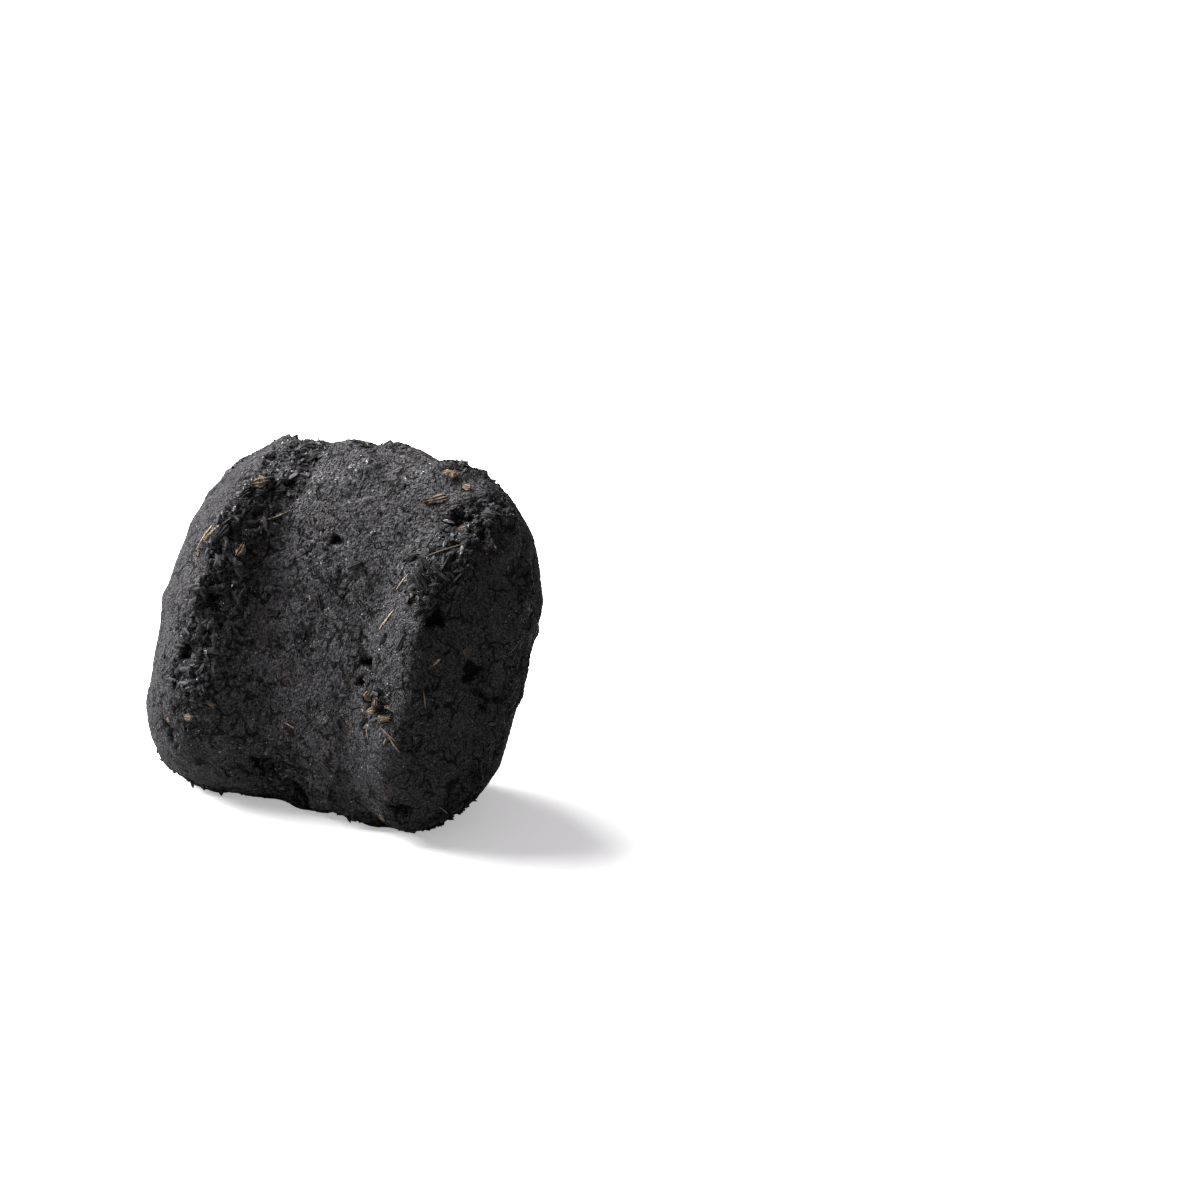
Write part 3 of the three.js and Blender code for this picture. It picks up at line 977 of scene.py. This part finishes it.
def read_vectors(rows, name):
    """One vector of each row of a mesh's points or normals."""
    flat = np.zeros(len(rows) * 3, np.float32)
    rows.foreach_get(name, flat)
    return flat.reshape(-1, 3).astype(float)


def set_points(mesh, points):
    mesh.vertices.foreach_set("co", points.astype(np.float32).ravel())


def keep_above_floor(mesh):
    """Lifts to the floor what would reach below it."""
    points = read_vectors(mesh.vertices, "co")
    points[:, 2] = np.maximum(points[:, 2], 0)
    set_points(mesh, points)


def linked(name, mesh):
    made = bpy.data.objects.new(name, mesh)
    bpy.context.scene.collection.objects.link(made)
    return made


def finish_piece(piece):
    """Hands a finished piece to the frame."""
    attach(piece, "root")


class Skin:
    """The finished surface, to set things down on."""

    def __init__(self, piece):
        mesh = piece.data
        corners = [tuple(polygon.vertices) for polygon in mesh.polygons]
        self.tree = BVHTree.FromPolygons([v.co for v in mesh.vertices], corners)

    def at(self, u, v):
        """The point on the front at a place on the pillow, and its normal."""
        start = room_place(u, v, FAR_OUT)
        point, normal, _, _ = self.tree.ray_cast(start, -OUT)
        if point is None:
            raise ValueError(f"there is no surface at u {u}, v {v}")
        wide = Vector((0, 0, 0))
        for side_u, side_v in ((BESIDE, 0), (-BESIDE, 0), (0, BESIDE), (0, -BESIDE)):
            start = room_place(u + side_u, v + side_v, FAR_OUT)
            hit, near, _, _ = self.tree.ray_cast(start, -OUT)
            if hit is not None:
                wide += near
        return point, (normal * 0.5 + wide).normalized()


def lying_frame(point, normal, turn):
    """A matrix that lays a piece's X along the surface, turned from ACROSS, and Z up."""
    direction = ACROSS * math.cos(turn) + ALONG * math.sin(turn)
    along = (direction - normal * direction.dot(normal)).normalized()
    side = normal.cross(along)
    made = Matrix((along, side, normal)).transposed().to_4x4()
    made.translation = point
    return made


def grained_block(length, width, thickness, random, ridges):
    """A broken block of wood or char: ridged along its grain, with ragged ends."""
    steps_long, steps_wide = 14, 3 * ridges
    shape = bmesh.new()
    phase = random.uniform(0, 6.28, 4)
    tops, bottoms = [], []
    for i in range(steps_long + 1):
        top_row, bottom_row = [], []
        for j in range(steps_wide + 1):
            s, t = i / steps_long * 2 - 1, j / steps_wide * 2 - 1
            ragged = 0.22 * math.sin(j * 2.1 + phase[0]) + 0.2 * math.sin(j * 4.7 + phase[1])
            x = s * length / 2 * (1 + ragged * abs(s) ** 3 - 0.12 * t * t)
            y = t * width / 2 * (1 - 0.3 * s * s + 0.2 * math.sin(3 * s + phase[2]))
            ridge = 0.16 * math.sin(t * ridges * math.pi + phase[3] + 0.6 * s)
            round_off = (1 - 0.55 * abs(t) ** 4) * (1 - 0.5 * abs(s) ** 6)
            z = thickness * (0.5 * round_off + ridge * round_off + random.normal(0, 0.035))
            top_row.append(shape.verts.new((x, y, z)))
            bottom_row.append(shape.verts.new((x * 0.92, y * 0.92, -thickness / 2)))
        tops.append(top_row)
        bottoms.append(bottom_row)
    for i in range(steps_long):
        for j in range(steps_wide):
            top = (tops[i][j], tops[i + 1][j], tops[i + 1][j + 1], tops[i][j + 1])
            under = (bottoms[i][j], bottoms[i][j + 1], bottoms[i + 1][j + 1], bottoms[i + 1][j])
            shape.faces.new(top)
            shape.faces.new(under)
    for i in range(steps_long):
        for j in (0, steps_wide):
            wall = (tops[i][j], tops[i + 1][j], bottoms[i + 1][j], bottoms[i][j])
            shape.faces.new(wall)
    for j in range(steps_wide):
        for i in (0, steps_long):
            wall = (tops[i][j], tops[i][j + 1], bottoms[i][j + 1], bottoms[i][j])
            shape.faces.new(wall)
    bmesh.ops.recalc_face_normals(shape, faces=shape.faces)
    return shape


def strand(points, width, random):
    """A thin strand of wood through its points, with pointed ends."""
    shape = bmesh.new()
    rings = []
    for i, (point, along, up) in enumerate(points):
        share = i / (len(points) - 1)
        swell = max(0.12, math.sin(math.pi * min(max(share, 0.04), 0.96)) ** 0.4)
        radius = width / 2 * swell * (1 + random.normal(0, 0.12))
        side = along.cross(up).normalized()
        ring = []
        for k in range(STRAND_SIDES):
            angle = 2 * math.pi * k / STRAND_SIDES
            offset = side * math.cos(angle) + up * math.sin(angle) * 0.7
            ring.append(shape.verts.new(point + offset * radius))
        rings.append(ring)
    for first, second in zip(rings, rings[1:]):
        for k in range(STRAND_SIDES):
            after = (k + 1) % STRAND_SIDES
            shape.faces.new((first[k], first[after], second[after], second[k]))
    shape.faces.new(rings[0])
    shape.faces.new(rings[-1])
    bmesh.ops.recalc_face_normals(shape, faces=shape.faces)
    return shape


def join_shapes(name, shapes, material):
    """One mesh of several shapes, each with its place and its tone."""
    joined = bmesh.new()
    tone = joined.verts.layers.float.new("shade")
    for shape, place, shade in shapes:
        shape.transform(place)
        copies = {vert: joined.verts.new(vert.co) for vert in shape.verts}
        for vert in copies.values():
            vert[tone] = shade
        for face in shape.faces:
            made = joined.faces.new([copies[vert] for vert in face.verts])
            made.smooth = False
        shape.free()
    mesh = bpy.data.meshes.new(name)
    joined.to_mesh(mesh)
    joined.free()
    mesh.materials.append(material)
    return mesh


# ---- operators ----


class BRIQUETTE_OT_body(bpy.types.Operator):
    """Makes the pressed body, with its flakes, splinters, pits and cracks"""

    bl_idname = "briquette.body"
    bl_label = "Pressed body"

    def execute(self, context):
        sizes = context.scene.briquette_sizes
        colours = context.scene.briquette_colours
        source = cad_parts["briquette"]
        mesh = source.data.copy()
        mesh.name = "pressed_body"
        welded = bmesh.new()
        welded.from_mesh(mesh)
        bmesh.ops.remove_doubles(welded, verts=welded.verts, dist=WELD * MM)
        welded.to_mesh(mesh)
        welded.free()
        mesh.materials.clear()
        piece = linked("pressed_body", mesh)

        # A rounder, finer and even grid.
        rounder = piece.modifiers.new("Rounder", "SUBSURF")
        rounder.levels = rounder.render_levels = 1
        softer = piece.modifiers.new("Softer", "SMOOTH")
        softer.factor = 0.5
        softer.iterations = 3
        finer = piece.modifiers.new("Finer", "REMESH")
        finer.mode = "VOXEL"
        finer.voxel_size = sizes.grid
        graph = context.evaluated_depsgraph_get()
        fine = bpy.data.meshes.new_from_object(piece.evaluated_get(graph), depsgraph=graph)
        piece.modifiers.clear()
        piece.data = fine

        # Named holes and cracks, and the shares that the relief works with. The
        # flattened foot stays as it is.
        points = read_vectors(fine.vertices, "co")
        normals = read_vectors(fine.vertex_normals, "vector")
        u, v, w = pillow_places(points)
        bedded = smooth_step(0.1, 1.6, points[:, 2] / MM)
        dug = dig_marks(u, v, w) * bedded
        set_points(fine, points - normals * (dug * MM)[:, None])
        set_values(fine, "loose", loose_share(u, v, w))
        set_values(fine, "bedded", bedded)
        set_values(fine, "dug", np.clip(dug / 0.6, 0, 1))

        material = material_named("Pressed charcoal", charcoal_material, colours)
        values = {
            "Flake size": sizes.flake,
            "Flake steepness": sizes.flake_rise,
            "Splinter size": sizes.splinter,
            "Splinter steepness": sizes.splinter_rise,
            "Pit depth": sizes.pit,
            "Seed": sizes.seed,
            "Material": material,
        }
        done = run_tree(piece, relief_tree(), values, "pressed_body")
        keep_above_floor(done)
        done.shade_smooth()
        piece.data = done
        finish_piece(piece)
        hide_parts("briquette")
        return {"FINISHED"}


def scatter(context, name, count, material):
    """Beds one kind of small bit in the body, as a piece of its own."""
    tree = bpy.data.node_groups.get("Bedded bits") or scatter_tree()
    share, seed, shortest, longest, width, thickness, tip, bedding, ragged = BITS[name]
    values = {
        "Share": share,
        "Bits to a square metre": float(count),
        "Shortest": shortest * MM,
        "Longest": longest * MM,
        "Width": width,
        "Thickness": thickness,
        "Tip": tip,
        "Bedding": bedding,
        "Ragged": ragged * MM,
        "Seed": context.scene.briquette_sizes.seed + seed,
        "Material": material,
    }
    mesh = run_tree(bpy.data.objects["pressed_body"], tree, values, name)
    keep_above_floor(mesh)
    finish_piece(linked(name, mesh))


class BRIQUETTE_OT_crumbs(bpy.types.Operator):
    """Beds char crumbs and flakes in the crumbled bands"""

    bl_idname = "briquette.crumbs"
    bl_label = "Crumbs and flakes"

    def execute(self, context):
        sizes = context.scene.briquette_sizes
        material = material_named("Broken char", char_material, context.scene.briquette_colours)
        scatter(context, "crumbs", sizes.crumbs, material)
        scatter(context, "char_flakes", sizes.flakes, material)
        return {"FINISHED"}


class BRIQUETTE_OT_char_lumps(bpy.types.Operator):
    """Sets the larger lumps of char, with the grain of their wood, into the front"""

    bl_idname = "briquette.char_lumps"
    bl_label = "Char lumps"

    def execute(self, context):
        colours = context.scene.briquette_colours
        random = np.random.default_rng(context.scene.briquette_sizes.seed)
        skin = Skin(bpy.data.objects["pressed_body"])
        shapes = []
        for u, v, length, width, thickness, turn in CHAR_LUMPS:
            point, normal = skin.at(u, v)
            place = lying_frame(point - normal * LUMP_SUNK * MM, normal, math.radians(turn))
            ridges = max(2, round(width / 0.55))
            block = grained_block(length * MM, width * MM, thickness * MM, random, ridges)
            shapes.append((block, place, random.uniform(0.0, 0.3)))
        u, v, length, width, turn, layers = CHAR_PIECE
        along = math.radians(turn)
        for i in range(layers):
            side = width * (i / (layers - 1) - 0.5)
            slip = random.uniform(-0.22, 0.22) * length
            layer_u = u + slip * math.cos(along) - side * math.sin(along)
            layer_v = v + slip * math.sin(along) + side * math.cos(along)
            point, normal = skin.at(layer_u, layer_v)
            tilted = along + math.radians(random.normal(0, 6))
            place = lying_frame(point + normal * random.uniform(0, 0.2) * MM, normal, tilted)
            long = length * random.uniform(0.35, 0.75)
            block = grained_block(long * MM, 0.5 * MM, 0.8 * MM, random, 2)
            shapes.append((block, place, random.uniform(0.0, 0.35)))
        material = material_named("Broken char", char_material, colours)
        finish_piece(linked("char_lumps", join_shapes("char_lumps", shapes, material)))
        return {"FINISHED"}


class BRIQUETTE_OT_wood(bpy.types.Operator):
    """Beds wood splinters all over, and chips and strands of wood at their places"""

    bl_idname = "briquette.wood"
    bl_label = "Wood splinters"

    def execute(self, context):
        colours = context.scene.briquette_colours
        sizes = context.scene.briquette_sizes
        material = material_named("Unburnt wood", wood_material, colours)
        scatter(context, "wood_splinters", sizes.splinters, material)
        random = np.random.default_rng(sizes.seed + 1)
        skin = Skin(bpy.data.objects["pressed_body"])
        shapes = []
        for u, v, length, width, thickness, turn, tone in CHIPS:
            point, normal = skin.at(u, v)
            raised = point + normal * CHIP_RAISED * MM
            place = lying_frame(raised, normal, math.radians(turn))
            size = (length * CHIP_TRIM * MM, width * CHIP_TRIM * MM, thickness * MM)
            block = grained_block(*size, random, 3)
            shapes.append((block, place, tone))
        for u_a, v_a, u_b, v_b, width, tone in STRANDS:
            shapes.append((strand_on(skin, (u_a, v_a), (u_b, v_b), width, random), Matrix(), tone))
        finish_piece(linked("wood_chips", join_shapes("wood_chips", shapes, material)))
        return {"FINISHED"}


def strand_on(skin, start, end, width, random):
    """A strand that lies along the surface from one place to another."""
    bow = random.normal(0, 0.25)
    points = []
    for i in range(STRAND_STEPS):
        share = i / (STRAND_STEPS - 1)
        u = start[0] + (end[0] - start[0]) * share
        v = start[1] + (end[1] - start[1]) * share
        side = bow * math.sin(math.pi * share)
        points.append(skin.at(u + side * 0.7, v - side * 0.7))
    first, last = points[0][0], points[-1][0]
    middle, normal = points[STRAND_STEPS // 2]
    lift = (middle - (first + last) / 2).dot(normal)
    path = []
    for i in range(STRAND_STEPS):
        share = i / (STRAND_STEPS - 1)
        rise = normal * (lift * 4 * share * (1 - share) + width * 0.4 * MM)
        path.append((first.lerp(last, share) + rise, (last - first).normalized(), normal))
    return strand(path, width * MM, random)


class BRIQUETTE_OT_specks(bpy.types.Operator):
    """Beds bright specks in the surface"""

    bl_idname = "briquette.specks"
    bl_label = "Bright specks"

    def execute(self, context):
        sizes = context.scene.briquette_sizes
        colours = context.scene.briquette_colours
        material = material_named("Bright specks", speck_material, colours)
        scatter(context, "bright_specks", sizes.specks, material)
        return {"FINISHED"}


# The camera: turn to the right, height angle, pixels of a 1200 pixel image to a
# millimetre at the pillow's middle, and where in that image the middle lies.
CAMERA_TURN = math.radians(23.7)
CAMERA_HEIGHT = math.radians(26)
LENS = 100.0
SENSOR = 36.0
IMAGE = 1200
PIXELS_A_MM = 6.475
MIDDLE_IN_IMAGE = (344.0, 626.2)
NEAREST_SEEN = 0.01

# Soft square lights: name, turn to the right and height in degrees, side in metres and
# watts. They stand at one distance from the pillow's middle.
LIGHTS = (
    ("key", -98, 36, 0.19, 3.6),
    ("rim", -142, 50, 0.19, 3.4),
)
LIGHT_DISTANCE = 0.34
SKY_COLOUR = (1, 0.95, 1, 1)
SKY_STRENGTH = 0.27

# The floor: half its width in metres, what it throws back, and its glow to the lens.
FLOOR_HALF = 3.0
FLOOR_BOUNCE = (0.32, 0.32, 0.32)
FLOOR_GLOW = (0.38, 0.38, 0.38)


class BRIQUETTE_OT_stage(bpy.types.Operator):
    """Sets up the pale floor, the soft lights and the camera"""

    bl_idname = "briquette.stage"
    bl_label = "Stage"

    def execute(self, context):
        right = Vector((math.cos(CAMERA_TURN), math.sin(CAMERA_TURN), 0))
        back = Vector(
            (
                math.sin(CAMERA_TURN) * math.cos(CAMERA_HEIGHT),
                -math.cos(CAMERA_TURN) * math.cos(CAMERA_HEIGHT),
                math.sin(CAMERA_HEIGHT),
            )
        )
        up = back.cross(right)
        self.add_camera(context, right, up, back)
        self.add_floor(context)
        self.add_lights(context, right, back)
        return {"FINISHED"}

    def add_camera(self, context, right, up, back):
        lens = bpy.data.cameras.new("camera")
        lens.lens = LENS
        lens.sensor_width = SENSOR
        lens.clip_start = NEAREST_SEEN
        camera = bpy.data.objects.new("camera", lens)
        distance = LENS / SENSOR * IMAGE / PIXELS_A_MM
        shift_right = (MIDDLE_IN_IMAGE[0] - IMAGE / 2) / PIXELS_A_MM
        shift_up = (IMAGE / 2 - MIDDLE_IN_IMAGE[1]) / PIXELS_A_MM
        place = MIDDLE + (back * distance - right * shift_right - up * shift_up) * MM
        turned = Matrix((right, up, back)).transposed().to_4x4()
        turned.translation = place
        camera.matrix_world = turned
        context.scene.collection.objects.link(camera)
        context.scene.camera = camera

    def add_floor(self, context):
        colours = context.scene.briquette_colours
        material, surface, make, place = new_material("Pale floor")
        cloud = make.noise(place, 40.0, detail=2.0)
        tone = mix_colour(make, make.math("MULTIPLY", cloud, 0.03), colours.floor, (0.8, 0.8, 0.8))
        # Seen by the lens it is white, and it throws less light back than it gets.
        seen = make.add("ShaderNodeLightPath").outputs["Is Camera Ray"]
        tone = mix_colour(make, seen, FLOOR_BOUNCE, tone)
        glow = mix_colour(make, seen, (0, 0, 0), FLOOR_GLOW)
        connect(
            make, surface,
            {
                "Base Color": tone, "Roughness": 0.6, "Specular IOR Level": 0.2,
                "Emission Color": glow, "Emission Strength": 1.0,
            },
        )
        mesh = bpy.data.meshes.new("floor")
        ends = ((-1, -1), (1, -1), (1, 1), (-1, 1))
        corners = [(x * FLOOR_HALF, y * FLOOR_HALF, 0) for x, y in ends]
        mesh.from_pydata(corners, [], [(0, 1, 2, 3)])
        mesh.materials.append(material)
        floor = linked("floor", mesh)

    def add_lights(self, context, right, back):
        ahead = Vector((back.x, back.y, 0)).normalized()
        for name, turn, height, size, power in LIGHTS:
            turn, height = math.radians(turn), math.radians(height)
            level = ahead * math.cos(turn) + right * math.sin(turn)
            towards = level * math.cos(height) + Vector((0, 0, math.sin(height)))
            place = MIDDLE + towards * LIGHT_DISTANCE
            lamp = bpy.data.lights.new(name, "AREA")
            lamp.size = size
            lamp.energy = power
            light = bpy.data.objects.new(name, lamp)
            light.location = place
            light.rotation_euler = towards.to_track_quat("Z", "Y").to_euler()
            context.scene.collection.objects.link(light)
        world = bpy.data.worlds.new("studio")
        world.use_nodes = True
        sky = world.node_tree.nodes["Background"].inputs
        sky["Color"].default_value = SKY_COLOUR
        sky["Strength"].default_value = SKY_STRENGTH
        context.scene.world = world
        context.scene.view_settings.view_transform = "Standard"


class BRIQUETTE_PT_panel(bpy.types.Panel):
    """Lists the briquette's sizes, its colours and the steps that build it"""

    bl_idname = "BRIQUETTE_PT_panel"
    bl_label = "Charcoal briquette"
    bl_space_type = "VIEW_3D"
    bl_region_type = "UI"
    bl_category = "Briquette"

    def draw(self, context):
        layout = self.layout
        for name in BriquetteSizes.__annotations__:
            layout.prop(context.scene.briquette_sizes, name)
        for name in BriquetteColours.__annotations__:
            layout.prop(context.scene.briquette_colours, name)
        for operator in OPERATORS:
            layout.operator(operator.bl_idname)


OPERATORS = (
    BRIQUETTE_OT_body,
    BRIQUETTE_OT_crumbs,
    BRIQUETTE_OT_char_lumps,
    BRIQUETTE_OT_wood,
    BRIQUETTE_OT_specks,
    BRIQUETTE_OT_stage,
)
CLASSES = (BriquetteSizes, BriquetteColours, *OPERATORS, BRIQUETTE_PT_panel)


def register():
    for cls in CLASSES:
        bpy.utils.register_class(cls)
    bpy.types.Scene.briquette_sizes = PointerProperty(type=BriquetteSizes)
    bpy.types.Scene.briquette_colours = PointerProperty(type=BriquetteColours)


def unregister():
    del bpy.types.Scene.briquette_colours
    del bpy.types.Scene.briquette_sizes
    for cls in reversed(CLASSES):
        bpy.utils.unregister_class(cls)


def main():
    register()
    bpy.ops.briquette.body()
    bpy.ops.briquette.crumbs()
    bpy.ops.briquette.char_lumps()
    bpy.ops.briquette.wood()
    bpy.ops.briquette.specks()
    bpy.ops.briquette.stage()


if __name__ == "__main__":
    main()
